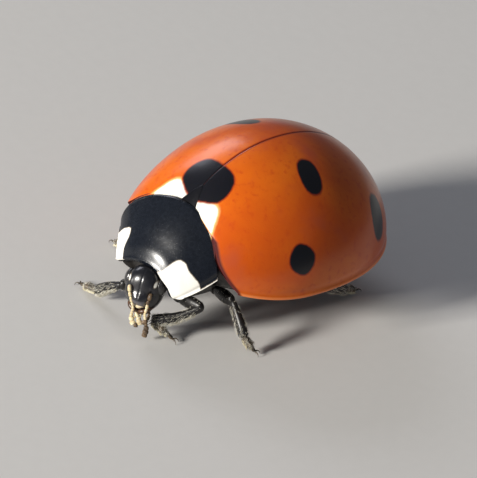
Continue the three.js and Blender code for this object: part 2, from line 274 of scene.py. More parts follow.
def black_chitin(name, tint, roughness, pore_per_mm, depth_mm, coat, pale=None, dull=None):
    """Punctured black cuticle. pale and dull name values below 0 where it is ivory or grey."""
    s = Shader(name)
    grain = s.noise(12.0, 4.0)
    colour = s.mix(grain, tuple(0.55 * c for c in tint), tuple(1.5 * c for c in tint))
    if dull:
        colour = s.layers(colour, (s.attribute(dull), 0.03, -0.02, (0.085, 0.080, 0.090)))
    if pale:
        mask = s.math("ADD", s.attribute(pale), s.linear(s.noise(8.0, 3.0), 0.05, -0.025))
        ivory = s.mix(s.noise(5.0), (0.90, 0.88, 0.80), (0.95, 0.93, 0.87))
        edge = (0.16, 0.12, 0.08)
        colour = s.layers(colour, (mask, 0.035, 0.0, edge), (mask, 0.02, -0.02, ivory))
    pits = s.step(s.cells(pore_per_mm), 0.26, 0.06)
    relief = s.linear(pits, -1.0, s.math("MULTIPLY", grain, 0.4))
    s.set(Base_Color=colour, Roughness=s.linear(grain, 0.10, roughness))
    s.set(Coat_Weight=coat, Coat_Roughness=0.16, Specular_IOR_Level=0.38)
    s.set(Normal=s.bump(relief, depth_mm, 0.8))
    return s.material


def tinted(name, dark, light, roughness, coat=0.0, glow=0.0):
    """Horn-like brown, cream or amber cuticle, mottled between two colours."""
    s = Shader(name)
    grain = s.noise(10.0, 4.0)
    s.set(Base_Color=s.mix(s.step(grain, 0.3, 0.7), dark, light), Coat_Weight=coat)
    s.set(Roughness=s.linear(grain, 0.15, roughness), Coat_Roughness=0.2)
    s.set(Normal=s.bump(grain, 0.004, 0.6))
    return s.glowing(glow, (0.0002, 0.00012, 0.00006), 0.5)


def eye_material():
    s = Shader("compound_eye")
    facets = s.cells(48.0)
    colour = s.mix(s.step(facets, 0.2, 0.7), (0.006, 0.006, 0.009), (0.035, 0.034, 0.034))
    s.set(Base_Color=colour, Roughness=0.22, Coat_Weight=0.5, Coat_Roughness=0.12)
    s.set(Normal=s.bump(s.math("MULTIPLY", facets, -1.0), 0.005, 0.8))
    return s.material


# Tint, roughness, pores per mm, their depth in mm and the coat of each black cuticle.
BLACKS = {
    "pronotum": ((0.006, 0.008, 0.013), 0.22, 26.0, 0.0014, 0.18, "ivory"),
    "scutellum": ((0.003, 0.003, 0.005), 0.26, 18.0, 0.002, 0.15),
    "head": ((0.009, 0.009, 0.012), 0.26, 34.0, 0.0013, 0.45, "ivory", "clypeus"),
    "underside": ((0.012, 0.010, 0.009), 0.42, 8.0, 0.008, 0.2, "ivory"),
    "leg": ((0.010, 0.009, 0.009), 0.36, 16.0, 0.003, 0.12),
}
# Darker and lighter colour, roughness, coat and light let through of each horny part.
TINTS = {
    "tarsus": ((0.035, 0.028, 0.020), (0.13, 0.10, 0.065), 0.4),
    "cream": ((0.56, 0.45, 0.26), (0.80, 0.70, 0.48), 0.40, 0.0, 0.2),
    "club": ((0.05, 0.032, 0.02), (0.16, 0.10, 0.05), 0.45),
    "jaw": ((0.03, 0.014, 0.008), (0.12, 0.05, 0.02), 0.3, 0.3),
    "pad": ((0.60, 0.54, 0.36), (0.84, 0.80, 0.62), 0.6),
    "seta": ((0.50, 0.46, 0.36), (0.80, 0.77, 0.66), 0.35, 0.0, 0.1),
}
MATERIALS = {}


def make_materials():
    MATERIALS.update(wing_case=wing_case_material(), eye=eye_material())
    for name, look in BLACKS.items():
        MATERIALS[name] = black_chitin(f"{name}_chitin", *look)
    for name, look in TINTS.items():
        MATERIALS[name] = tinted("foot_pad" if name == "pad" else f"{name}_chitin", *look)


# ---- Mesh code ----


class Piece:
    """One visible mesh of closed parts, each with a material and vertex values."""

    def __init__(self, name, slot, nodes=None):
        self.name, self.slot, self.nodes = name, slot, nodes or [name]
        self.points, self.faces, self.materials, self.face_materials = [], [], [], []
        self.values = {}
        self.count = 0

    def add(self, points, faces, material, **values):
        if material not in self.materials:
            self.materials.append(material)
        index = self.materials.index(material)
        for name in sorted({*self.values, *values}):
            column = self.values.setdefault(name, [np.full(self.count, FAR)])
            column.append(np.broadcast_to(np.ravel(values.get(name, FAR)), len(points)))
        self.points.append(np.asarray(points, float))
        self.faces += [[v + self.count for v in face] for face in faces]
        self.face_materials += [index] * len(faces)
        self.count += len(points)

    def build(self):
        mesh = bpy.data.meshes.new(self.name)
        mesh.from_pydata(place(np.concatenate(self.points)).tolist(), [], self.faces)
        for material in self.materials:
            mesh.materials.append(MATERIALS[material])
        mesh.polygons.foreach_set("material_index", self.face_materials)
        mesh.polygons.foreach_set("use_smooth", [True] * len(self.faces))
        for name, columns in self.values.items():
            layer = mesh.attributes.new(name, "FLOAT", "POINT")
            layer.data.foreach_set("value", np.concatenate(columns).astype(np.float32))
        mesh.validate()
        mesh.update()
        piece = add_object(self.name, mesh)
        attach(piece, "root")
        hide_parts(*self.nodes)
        return piece


def show(name, slot, shape, material=None, **values):
    """A piece made of one closed shape, in place of the node of the same name."""
    piece = Piece(name, slot)
    piece.add(*shape, material or slot, **values)
    piece.build()


def unit(vector):
    vector = np.asarray(vector, float)
    return vector / np.maximum(np.linalg.norm(vector, axis=-1, keepdims=True), 1e-12)


def bell(value, centre, width):
    """A smooth bump, 1 at the centre."""
    return np.exp(-(((value - centre) / width) ** 2))


def xyz(x, y, z):
    return np.stack(np.broadcast_arrays(x, y, z), axis=-1)


def loft(rings):
    """Points and faces of a closed skin over rings, given as an array of rings and points."""
    a = np.arange(rings[..., 0].size).reshape(rings.shape[:2])
    b = np.roll(a, -1, axis=1)
    quads = np.stack([a[:-1], b[:-1], b[1:], a[1:]], axis=-1).reshape(-1, 4)
    faces = [*quads.tolist(), a[0, ::-1].tolist(), a[-1].tolist()]
    points = rings.reshape(-1, 3)
    # The faces are turned over if they enclose a negative volume.
    volume = 0.0
    for face in faces:
        corners = points[face] - points.mean(0)
        volume += np.sum(np.cross(corners[1:-1], corners[2:]) @ corners[0])
    return points, faces if volume > 0 else [face[::-1] for face in faces]


def catmull_rom(a, b, c, d, steps):
    """Places on a curve from b towards c."""
    return [
        0.5
        * (2 * b + (c - a) * t + (2 * a - 5 * b + 4 * c - d) * t**2 + (3 * b - a - 3 * c + d) * t**3)
        for t in np.linspace(0, 1, steps, endpoint=False)
    ]


def smooth_path(points, count):
    """Evenly spaced places along a smooth curve through the points."""
    p = np.asarray(points, float)
    p = np.vstack([2 * p[0] - p[1], p, 2 * p[-1] - p[-2]])
    fine = []
    for i in range(1, len(p) - 2):
        fine += catmull_rom(*p[i - 1 : i + 3], 24)
    fine = np.array(fine + [p[-2]])
    length = np.r_[0, np.cumsum(np.linalg.norm(np.diff(fine, axis=0), axis=1))]
    wanted = np.linspace(0, length[-1], count)
    return np.array([np.interp(wanted, length, fine[:, k]) for k in range(3)]).T


def closed_curve(corners):
    """A smooth closed outline through the corners."""
    c = np.asarray(corners, float)
    out = []
    for i in range(len(c)):
        out += catmull_rom(c[i - 1], c[i], c[(i + 1) % len(c)], c[(i + 2) % len(c)], 8)
    return np.array(out)


def polygon_distance(u, v, corners):
    """Signed distance to a closed outline in two coordinates, negative inside."""
    inside = np.zeros(u.shape, bool)
    nearest = np.full(u.shape, 9e9)
    for (ax, ay), (bx, by) in zip(corners, np.roll(corners, -1, 0)):
        dx, dy = bx - ax, by - ay
        t = np.clip(((u - ax) * dx + (v - ay) * dy) / (dx * dx + dy * dy), 0, 1)
        nearest = np.minimum(nearest, np.hypot(u - ax - t * dx, v - ay - t * dy))
        crosses = (ay > v) != (by > v)
        with np.errstate(divide="ignore", invalid="ignore"):
            inside ^= crosses & (u < dx * (v - ay) / dy + ax)
    return np.where(inside, -nearest, nearest)


def limb_axes(path, side):
    """Directions along a limb, across it towards side, and at right angles to both."""
    side = np.asarray(side, float)
    tangent = unit(np.gradient(path, axis=0))
    across = unit(side - (tangent @ side)[:, None] * tangent)
    return tangent, across, np.cross(tangent, across)


def tube(path, wide, deep, side, sides):
    """A closed limb with two radii, wide towards side and deep at right angles."""
    across, over = limb_axes(path, side)[1:]
    angle = np.linspace(0, 2 * np.pi, sides, endpoint=False)
    return loft(
        path[:, None]
        + (wide[:, None] * np.cos(angle))[..., None] * across[:, None]
        + (deep[:, None] * np.sin(angle))[..., None] * over[:, None]
    )


def round_ends(count, head, tail):
    """Factors that round a limb off over a share of its length at each end."""
    t = np.linspace(0, 1, count)
    start, end = (
        np.sqrt(np.clip(1 - (1 - np.clip(part, 0, 1)) ** 2, 0.004, 1))
        for part in (t / head, (1 - t) / tail)
    )
    return start * end


def ball(centre, radii, across, down):
    """A closed ellipsoid."""
    rise = np.linspace(0.03, np.pi - 0.03, down)[:, None]
    turn = np.linspace(0, 2 * np.pi, across, endpoint=False)
    ways = (np.sin(rise) * np.cos(turn), np.sin(rise) * np.sin(turn), np.cos(rise))
    return loft(xyz(*(w * r + c for w, r, c in zip(ways, radii, centre))))


def turned(points, degrees, pivot_y=TURN_Y, shift=0.0):
    """Points turned sideways, as the head and the pronotum are."""
    angle = math.radians(degrees)
    p = np.array(points, float)
    x = p[..., 0].copy()
    y = p[..., 1] - pivot_y
    p[..., 0] = x * math.cos(angle) - y * math.sin(angle) + shift
    p[..., 1] = x * math.sin(angle) + y * math.cos(angle) + pivot_y
    return p


# ---- Wing cases ----

# Where each shoulder starts to be cut away, in degrees from the crest, how much and how sharply,
# and how far the front edge reaches forward half-way down.
SHOULDERS = {1: (55.0, 0.31, 2.2, 0.0), -1: (62.0, 0.5, 2.0, 0.03)}
REACH_ANGLE = 48.0
REACH_SPREAD = 22.0
CASE = {
    "thickness": 0.09,
    "seam": 0.004,       # half the gap between the two cases
    "bead": 0.024,       # height of the raised margin
    "bead_width": 0.05,
    "groove": 0.016,     # depth of the channel inside that margin
    "groove_at": 0.14,
    "groove_width": 0.07,
    "fold": 0.46,        # width of the epipleuron, the fold under the rim
}
# The fold from the rim inwards: share of its width, and how far it hangs below the rim.
FOLD_STEPS = (
    (0.02, 0.018), (0.06, 0.03), (0.12, 0.034), (0.25, 0.022), (0.45, 0.004), (0.7, -0.012),
    (0.9, -0.012), (1.0, -0.03),
)
# Spots on each wing case, mirrored to the left: centre, long axis, half-length, half-width and
# the power of the outline, where 2 is an ellipse and less is a lozenge.
LATERAL_SPOT = ((2.53, -0.90, 2.45), (0.35, 0.1, -0.93), 0.38, 0.34, 1.7)
REAR_SPOT = ((2.08, 1.84, 2.52), (0.55, -0.15, -0.8), 0.56, 0.32, 2.2)
SPOTS = {
    1: [((1.38, 0.10, 3.85), (0.75, -0.24, -0.6), 0.49, 0.275, 2.3), LATERAL_SPOT, REAR_SPOT],
    -1: [((1.36, 0.27, 3.84), (0.75, -0.12, -0.6), 0.50, 0.27, 2.3), LATERAL_SPOT, REAR_SPOT],
}
# Half of the spot on the scutellum and the ivory triangle beside it, as outlines in plan.
SCUTELLAR_SPOT = [
    (0.0, -1.455), (0.3, -1.465), (0.53, -1.55), (0.66, -1.73), (0.7, -1.93), (0.64, -2.11),
    (0.47, -2.215), (0.3, -2.28), (0.13, -2.36), (0.05, -2.6), (0.0, -2.62),
]
IVORY_TRIANGLE = [
    (0.1, -2.4), (0.3, -2.28), (0.5, -2.2), (0.68, -2.17), (0.82, -2.21), (0.92, -2.33),
    (1.0, -2.47), (1.08, -2.62), (1.06, -2.9), (0.1, -2.9),
]
# The outlines hold above these heights; below them the same plan is the front of the case.
SPOT_ABOVE_Z = 2.6
IVORY_ABOVE_Z = 2.0


def dome_point(ring_y, angle, inset=0.0, corner=SHOULDERS[1]):
    """Points of the dome at an angle in radians from its crest."""
    start, cut, power, lead = corner
    degrees = np.degrees(np.abs(angle))
    low = np.clip((degrees - start) / (90 - start), 0, 1)
    near_front = np.minimum(0, ring_y / DOME["base"]) ** 4
    y = ring_y + cut * low**power * near_front
    y = y - lead * bell(degrees, REACH_ANGLE, REACH_SPREAD) * near_front**2
    ahead = y < 0
    length = np.where(ahead, DOME["front"], DOME["rear"] - inset)
    ratio = np.minimum(np.abs(y) / length, 1)
    plan = np.sqrt(1 - ratio ** DOME["plan_power"])
    crest = np.sqrt(1 - ratio ** DOME["crest_power"])
    half, top = (
        np.where(ahead, size * curve - inset, (size - inset) * curve)
        for size, curve in ((DOME["half_width"], plan), (DOME["height"], crest))
    )
    rim = RIM_Z + DOME["lift"] * np.maximum(0, -y - DOME["lift_from"]) ** 2
    advance = np.where(ahead, DOME["shoulder"] * (y / DOME["base"]) ** 2, 0)
    across = np.sin(angle)
    z = rim + (RIM_Z + top - rim) * np.abs(np.cos(angle))
    return xyz(half * across, y - advance * across**2, z)


def spot_distance(points, side):
    """Distance in mm outside the nearest black spot, negative inside it."""
    mirrored = np.abs(points[..., 0])[..., None] * [1, 0, 0] + points * [0, 1, 1]
    nearest = np.full(points.shape[:-1], FAR)
    for centre, direction, long, short, power in SPOTS[side]:
        centre = np.array(centre)
        normal = unit((centre - [0, 0, RIM_Z]) / [2.8**2, 3.1**2, 2.69**2])
        along = unit(np.array(direction) - np.dot(direction, normal) * normal)
        off = mirrored - centre
        u = np.abs(off @ along) / long
        v = np.abs(off @ np.cross(normal, along)) / short
        reach = (u**power + v**power + 1e-9) ** (1 / power)
        nearest = np.minimum(nearest, (reach - 1) * math.sqrt(long * short))
    half = np.array(SCUTELLAR_SPOT)
    whole = closed_curve(np.vstack([half, half[-2:0:-1] * [-1, 1]]))
    middle = polygon_distance(mirrored[..., 0], mirrored[..., 1], whole)
    return np.minimum(nearest, np.where(points[..., 2] > SPOT_ABOVE_Z, middle, FAR))


def wing_case(side, name):
    """A shell: the domed outer skin, the fold under its rim and an inner skin."""
    ahead = np.linspace(-DOME["base"], 0, 70, endpoint=False)
    rows = np.r_[ahead, DOME["rear"] * np.sin(np.radians(np.linspace(0, 89.2, 90)))]
    # Angles from the seam to the rim, closest together at both.
    flank = np.linspace(3, 78, 62, endpoint=False)
    columns = np.radians(np.r_[np.linspace(0, 3, 9, endpoint=False), flank, np.linspace(78, 90, 26)])
    outer = dome_point(rows[:, None], columns[None, :], corner=SHOULDERS[side])
    rim_z = outer[:, -1, 2]
    above = outer[..., 2] - rim_z[:, None]
    # A raised margin with a channel inside it.
    level = unit(outer * [1 / 2.8**2, 1 / 3.1**2, 0])
    bead = CASE["bead"] * bell(above, 0, CASE["bead_width"])
    groove = CASE["groove"] * bell(above, CASE["groove_at"], CASE["groove_width"])
    outer = outer + level * (bead - groove)[..., None]
    # The case rounds off towards the seam and the front edge.
    outer[..., 2] -= 0.005 * bell(outer[..., 0], 0, 0.02)
    outer[..., 0] = np.maximum(outer[..., 0], CASE["seam"])
    dip = 0.012 * bell((rows - rows[0])[:, None, None], 0, 0.03)
    outer -= unit(outer - [0, 0, RIM_Z]) * dip
    # Under the rim a hollow fold runs inwards, narrowing towards the tail and the shoulder.
    edge = outer[:, -1]
    tail_share = np.clip(rows / DOME["rear"], 0, 1)
    front_share = np.clip((-rows - 0.9) / (DOME["base"] - 0.9), 0, 1)
    fold_width = CASE["fold"] * (1 - 0.85 * tail_share**1.6) * (1 - 0.86 * front_share**1.5)
    fold_width = np.minimum(fold_width, edge[:, 0] * 0.9)
    fold = np.stack(
        [
            edge - level[:, -1] * (share * fold_width)[:, None] - [0, 0, drop]
            for share, drop in FOLD_STEPS
        ],
        axis=1,
    )
    inner = dome_point(rows[:, None], columns[None, ::-3], CASE["thickness"], SHOULDERS[side])
    inner[..., 0] = np.maximum(inner[..., 0], CASE["seam"])
    inner[..., 2] = np.maximum(inner[..., 2], fold[:, -1, 2][:, None] + 0.02)
    rings = np.concatenate([outer, fold, inner], axis=1)
    rings[..., 1] = np.minimum(rings[..., 1], DOME["rear"])
    spot = spot_distance(rings, side)
    spot[:, len(columns) :] = FAR
    ivory = polygon_distance(rings[..., 0], rings[..., 1], closed_curve(IVORY_TRIANGLE))
    ivory = np.where(rings[..., 2] > IVORY_ABOVE_Z, ivory, FAR)
    seam = rings[..., 0].copy()
    rim = np.abs(rings[..., 2] - rim_z[:, None])
    # Distance behind the front edge, low down, for the painted shade along it; the right case shows
    # hardly any of that shade.
    lip = np.linalg.norm(rings - rings[:1], axis=-1)
    lip += 0.6 * np.clip((rings[..., 2] - 2.8) / 0.5, 0, 1)
    lip *= 1 if side > 0 else 4
    rings[..., 0] *= side
    show(name, "wing_case", loft(rings), spot=spot, ivory=ivory, rim=rim, seam=seam, lip=lip)


def scutellum():
    """A small domed shield between the bases of the wing cases."""
    front_y, tip_y = -2.44, -2.04
    u = np.linspace(-1, 1, 21)
    rings = []
    for v in np.linspace(0, 1, 20):
        x = u * (0.25 * (1 - v) ** 0.85 + 0.006)
        y = front_y + (tip_y - front_y) * v
        crest_z = dome_point(y, np.arcsin(np.clip(x / 1.9, -1, 1)))[:, 2]
        top = xyz(x, y, crest_z + 0.008 * (1 - u**2) + 0.004)
        rings.append(np.vstack([top, top[::-1] - [0, 0, 0.25]]))
    show("scutellum", "scutellum", loft(np.array(rings)))


# ---- Pronotum and prothorax ----

# Outlines of the ivory patches, across and along the pronotum: 1 across is the side margin and
# 0 along the front edge.
IVORY_PATCHES = {
    1: [
        (0.26, -0.06), (0.33, 0.10), (0.36, 0.25), (0.41, 0.38), (0.50, 0.44), (0.60, 0.44),
        (0.72, 0.50), (0.86, 0.58), (1.02, 0.58), (1.05, 0.2), (1.05, -0.1), (0.7, -0.1),
    ],
    -1: [
        (0.62, -0.1), (0.61, 0.12), (0.585, 0.26), (0.545, 0.38), (0.53, 0.48), (0.56, 0.56),
        (0.68, 0.62), (0.84, 0.70), (1.02, 0.84), (1.05, 0.4), (1.05, -0.1), (0.8, -0.1),
    ],
}
PLAN_MM = np.array([1.75, 1.72])     # about how many mm those units are
# How far the front edge is cut back at the side margin and how sharply, and where the left front
# corner starts to round off and how far.
FRONT_CUTS = {1: (0.06, 4.0), -1: (0.27, 3.0)}
LEFT_CORNER = (0.78, 0.20)


def pronotum_point(v, u, inset=0.0):
    """The arch of the pronotum: v from 0 in front to 1 behind, u from -1 at its right margin."""
    p = PRONOTUM

    def between(key):
        front = p[key.format("front")]
        return front + (p[key.format("hind")] - front) * v

    bow = np.sin(np.pi * np.clip(v, 0, 1))
    lift = p["crest_bow"] * bow - inset
    half = between("{}_half") + p["side_bow"] * bow - inset
    edge_y, edge_z = between("{}_y"), between("{}_z")
    rise, run = (p[f"crest_hind_{k}"] - p[f"crest_front_{k}"] for k in "zy")
    crest_y = between("crest_{}_y") - rise / math.hypot(rise, run) * lift
    crest_z = between("crest_{}_z") + run / math.hypot(rise, run) * lift
    angle = u * np.pi / 2
    flat = np.abs(np.cos(angle))
    y = edge_y + (crest_y - edge_y) * flat ** p["reach"]
    z = edge_z + (crest_z - edge_z) * flat ** p["rise"]
    return xyz(half * np.sin(angle), y, z)


def in_turn(points):
    return turned(points, PRONOTUM["turn"], shift=PRONOTUM["shift"])


def pronotum():
    v = np.r_[np.linspace(0, 0.06, 9), np.linspace(0.07, 0.94, 74), np.linspace(0.95, 1.0, 8)]
    u = np.r_[np.linspace(-1, -0.9, 16), np.linspace(-0.89, 0.89, 120), np.linspace(0.9, 1, 16)]
    rows, grid_u = np.meshgrid(v, u, indexing="ij")
    right = grid_u < 0
    depth, power = (np.where(right, FRONT_CUTS[-1][k], FRONT_CUTS[1][k]) for k in (0, 1))
    start = depth * np.abs(grid_u) ** power
    share = np.clip((grid_u - LEFT_CORNER[0]) / (1 - LEFT_CORNER[0]), 0, 1)
    start += LEFT_CORNER[1] * (1 - np.sqrt(1 - share**2))
    # The hind edge reaches a little over the wing cases.
    reach = 1 + 0.035 * np.clip(grid_u, 0, 1) ** 0.7 + 0.06 * bell(grid_u, -0.6, 0.3)
    grid_v = start + (reach - start) * rows
    top = pronotum_point(grid_v, grid_u)
    normal = unit(np.cross(np.gradient(top, axis=1), np.gradient(top, axis=0)))
    normal = np.where((normal[..., 2:3] * 0.6 - normal[..., 1:2] * 0.8) < 0, -normal, normal)
    # The side margins are a thin bead with a channel inside it; the front edge is a low lip.
    side = (1 - np.abs(grid_u)) * 1.6
    front = rows * 1.7
    hind = (1 - rows) * 1.7
    height = 0.03 * bell(side, 0, 0.045) - 0.02 * bell(side, 0.13, 0.06)
    height += 0.012 * bell(front, 0, 0.05) - 0.03 * bell(front, 0, 0.015)
    height -= 0.03 * bell(hind, 0, 0.03)
    # A swelling behind the front edge, the right hind shoulder, and two shallow dimples.
    height += 0.028 * bell(front, 0.3, 0.2) * (1 - grid_u**2)
    height += 0.14 * bell(grid_u, -0.66, 0.3) * np.clip(grid_v, 0, 1) ** 3
    for x in (0.52, -0.52):
        height -= 0.016 * bell(grid_u, x, 0.16) * bell(grid_v, 0.62, 0.192)
    top = top + normal * height[..., None]
    # The right margin is drawn in a little.
    top[..., 0] += 0.06 * np.clip(-grid_u, 0, 1) ** 6
    under = pronotum_point(grid_v[:, ::-4], grid_u[:, ::-4], 0.09)
    ivory = np.zeros_like(grid_u)
    for sign, outline in IVORY_PATCHES.items():
        patch = closed_curve(outline) * PLAN_MM
        distance = polygon_distance(np.abs(grid_u) * PLAN_MM[0], grid_v * PLAN_MM[1], patch)
        ivory = np.where(right == (sign < 0), distance, ivory)
    # A thin pale line is painted along the side margin and round the left hind corner, a painted
    # highlight where the light catches the bead.
    margin = np.minimum(side, np.where(np.abs(grid_u) > 0.94, hind, FAR)) - 0.035
    margin = np.where(right & (grid_v > 0.45), FAR, margin)
    ivory = np.concatenate([np.minimum(ivory, margin), np.full(under.shape[:2], FAR)], axis=1)
    rings = in_turn(np.concatenate([top, under], axis=1))
    show("pronotum", "pronotum", loft(rings), ivory=ivory)


def prothorax():
    """The underside of the first body ring, tucked up inside the pronotum."""
    u = np.linspace(-1, 1, 41)
    angle = np.linspace(np.pi / 2, -np.pi / 2, 31)[1:-1]
    flat = np.cos(angle)
    keel = 0.06 * bell(np.sin(angle), 0, 0.12)
    rings = []
    for t in np.linspace(0.18, 0.99, 24):
        cut = np.where(u < 0, 0.36, 0.16) * np.abs(u) ** 3
        top = pronotum_point(cut + (1 - cut) * t, u, 0.12 + 0.3 * max(0.0, 0.5 - t))
        x, y, z = top[-1]
        low_y = -3.2 + 0.75 * t
        low_z = 1.0 - 0.15 * t
        low = xyz(x * np.sin(angle), y + (low_y - y) * flat, z + (low_z - z - keel) * flat**0.8)
        rings.append(np.vstack([top, low]))
    show("prothorax", "underside", loft(in_turn(np.array(rings))), ivory=FAR)


# ---- Thorax and abdomen ----

BELLY = {"front": -2.36, "divide": -0.45, "inset": 0.56, "depth": 0.55, "full_width": 2.15}
SEGMENT_EDGES = [-0.45, 0.55, 1.05, 1.5, 1.9, 2.25, 2.72]
SEGMENT_STEPS = (0.0, 0.04, 0.1, 0.25, 0.45, 0.65, 0.82, 0.92, 0.97, 0.995)


def belly_point(edge, angle, extra=0.0):
    """The belly at an angle from straight down, given its edge, and its sag there."""
    sag = (BELLY["depth"] + extra) * np.minimum(1, edge[..., 0] / BELLY["full_width"])
    z = edge[..., 2] - sag * np.cos(angle) ** 0.9
    return xyz(edge[..., 0] * np.sin(angle), edge[..., 1], z), sag


def belly_ring(y, extra):
    """One ring of the trunk: a roof hidden by the wing cases and a rounded belly."""
    roof = dome_point(y, np.radians(np.linspace(-90, 90, 37)), BELLY["inset"])
    under = belly_point(roof[-1], np.linspace(np.pi / 2, -np.pi / 2, 72)[1:-1], extra)[0]
    return np.vstack([roof, under])


def abdomen():
    """Overlapping belly plates, each proud of the next towards its hind edge."""
    rings = []
    for a, b in zip(SEGMENT_EDGES[:-1], SEGMENT_EDGES[1:]):
        for t in SEGMENT_STEPS:
            proud = 0.05 * t**1.5 - 0.045 * max(0, (t - 0.97) / 0.03)
            rings.append(belly_ring(a + (b - a) * t, proud))
    rings.append(belly_ring(SEGMENT_EDGES[-1] + 0.02, -0.25))
    show("abdomen", "underside", loft(np.array(rings)), ivory=FAR)


def thorax():
    """The middle and hind rings of the trunk, with a groove between their plates."""
    ys = np.linspace(BELLY["front"] - 0.06, BELLY["divide"] - 0.01, 60)
    rings = np.array([belly_ring(y, -0.04 * bell(y, -1.62, 0.03)) for y in ys])
    under = rings[..., 2] < RIM_Z + 0.35
    rings[..., 2] += np.where(under, 0.03 * bell(rings[..., 0], 0, 0.03), 0)
    # The pale side plate under the shoulder of the wing case.
    plate = np.hypot((np.abs(rings[..., 0]) - 1.82) / 0.9, (rings[..., 1] + 1.72) / 0.75) * 0.3 - 0.07
    plate = np.where(under & (rings[..., 2] < RIM_Z + 0.33), plate, FAR)
    show("thorax", "underside", loft(rings), ivory=plate)


# ---- Head ----

HEAD_SHAPE = {"half_width": 0.49, "depth": 0.42, "height": 0.6, "power": 2.25, "chin": 0.24}
EYE = {"x": 0.385, "y": -3.66, "z": 1.37, "radii": (0.15, 0.21, 0.25)}
CLYPEUS = {"half_width": 0.17, "top": 1.11, "bottom": 0.94}
FRONS_MARK = (0.335, 1.53, 0.028, 0.06)     # x, z, half-width and half-height
JAW = [(0.27, -3.78, 0.88), (0.24, -3.94, 0.82), (0.13, -4.01, 0.77), (0.01, -4.0, 0.75)]
LOWER_PALP = [(0.06, -3.92, 0.66), (0.07, -3.97, 0.58), (0.06, -3.99, 0.5)]
# Joints of the maxillary palps, from root to tip, and radii at both ends of each segment.
PALPS = {
    1: [(0.19, -3.84, 0.78), (0.27, -3.9, 0.66), (0.25, -3.97, 0.55), (0.17, -4.0, 0.42)],
    -1: [(-0.17, -3.86, 0.76), (-0.08, -3.97, 0.70), (0.03, -4.0, 0.58), (0.1, -4.0, 0.37)],
}
PALP_MATERIALS = {1: "club", -1: "cream"}
PALP_RADII = [(0.03, 0.04), (0.035, 0.05), (0.045, 0.085)]
# Feelers from socket to tip.
ANTENNAE = {
    "left": [
        (0.29, -4.0, 1.33), (0.292, -4.078, 1.286), (0.265, -4.09, 1.113), (0.238, -4.068, 0.918),
        (0.212, -4.06, 0.74), (0.25, -4.06, 0.55), (0.285, -4.06, 0.36), (0.255, -4.06, 0.12),
    ],
    "right": [
        (-0.27, -4.0, 1.39), (-0.242, -4.09, 1.361), (-0.203, -4.115, 1.218),
        (-0.143, -4.12, 1.042), (-0.10, -4.09, 0.866), (-0.122, -4.04, 0.70),
        (-0.137, -4.02, 0.54), (-0.06, -4.03, 0.37), (0.06, -4.03, 0.365),
    ],
}
ANTENNA_SEGMENTS = [0.17, 0.11, 0.13, 0.10, 0.09, 0.08, 0.08, 0.07, 0.09, 0.09, 0.09]
ANTENNA_RADII = [0.05, 0.044, 0.038, 0.036, 0.036, 0.037, 0.039, 0.044, 0.058, 0.066, 0.06]
CLUB_FROM = 8            # the first segment of the club
# Segments that are dark rather than cream, counted from the root; the left feeler's first two are
# painted dark as shade, the dark ones towards the tip are the feeler's own colour.
SHADED_AND_DARK_SEGMENTS = {"left": (0, 1, 6, 7, 8, 9, 10), "right": (10,)}


def on_head(shape):
    """A shape taken from the head's own straight frame, used above, to the animal's."""
    points, faces = shape
    return turned(turned(points, HEAD["twist"], HEAD["y"]), HEAD["turn"]), faces


def fade(distance, width):
    """1 well below zero, 0 well above it."""
    return 1 / (1 + np.exp(distance / width))


def head():
    power = 2 / HEAD_SHAPE["power"]
    rise = np.radians(np.linspace(-88, 88, 110))
    turn = np.linspace(0, 2 * np.pi, 180, endpoint=False)
    up = np.sin(rise)[:, None] * np.ones(len(turn))

    def bend(value):
        return np.sign(value) * np.abs(value) ** power

    size = (np.cos(rise) ** power)[:, None]
    narrow = 1 - HEAD_SHAPE["chin"] * np.maximum(0, -up) ** 1.2
    x = HEAD_SHAPE["half_width"] * size * narrow * bend(np.cos(turn))
    y = HEAD_SHAPE["depth"] * size * bend(np.sin(turn))
    z = HEAD_SHAPE["height"] * bend(up) + HEAD["z"]
    front = np.clip(-np.sin(turn), 0, 1)[None, :] * np.ones_like(up)
    # A flattened forehead, and the clypeus as a flat plate on the swollen lower face.
    y += 0.02 * front**3 * bell(z, 1.45, 0.25)
    across = fade(np.abs(x) - CLYPEUS["half_width"], 0.012)
    above = fade(z - CLYPEUS["top"], 0.012)
    below = fade(CLYPEUS["bottom"] - z, 0.010)
    y -= 0.028 * across * above * below * (front > 0.3)
    y += 0.05 * (1 - below) * front * np.clip((CLYPEUS["bottom"] + 0.02 - z) / 0.1, 0, 1)
    y -= 0.09 * front**3 * bell(z, 1.14, 0.13) * bell(x, 0, 0.26)
    for side in (-1, 1):
        # Hollows for the feelers, and sockets for the eyes, whose inner edge is a low ridge.
        y += 0.05 * bell(x, side * 0.28, 0.06) * bell(z, 1.31, 0.08) * front
        socket = bell(x, side * EYE["x"], 0.15) * bell(z, EYE["z"], 0.27)
        x = x - side * 0.035 * socket * bell(y + HEAD["y"], EYE["y"], 0.24)
        y -= 0.008 * bell(np.abs(x), 0.27, 0.03) * bell(z, 1.4, 0.2) * front
    # A fine line down the middle.
    y += 0.010 * bell(x, 0, 0.015) * front * (z > CLYPEUS["top"] + 0.03)
    y += HEAD["y"]
    mark_x, mark_z, mark_wide, mark_tall = FRONS_MARK
    mark = np.hypot((np.abs(x) - mark_x) / mark_wide, (z - mark_z) / mark_tall) - 1
    off_z = np.abs(z - (CLYPEUS["top"] + CLYPEUS["bottom"]) / 2) - 0.085
    plate = np.maximum(np.abs(x) - CLYPEUS["half_width"], off_z)
    mark, plate = (np.where(y < HEAD["y"], value, FAR) for value in (mark * 0.055, plate))
    show("head", "head", on_head(loft(xyz(x, y, z))), ivory=mark, clypeus=plate)


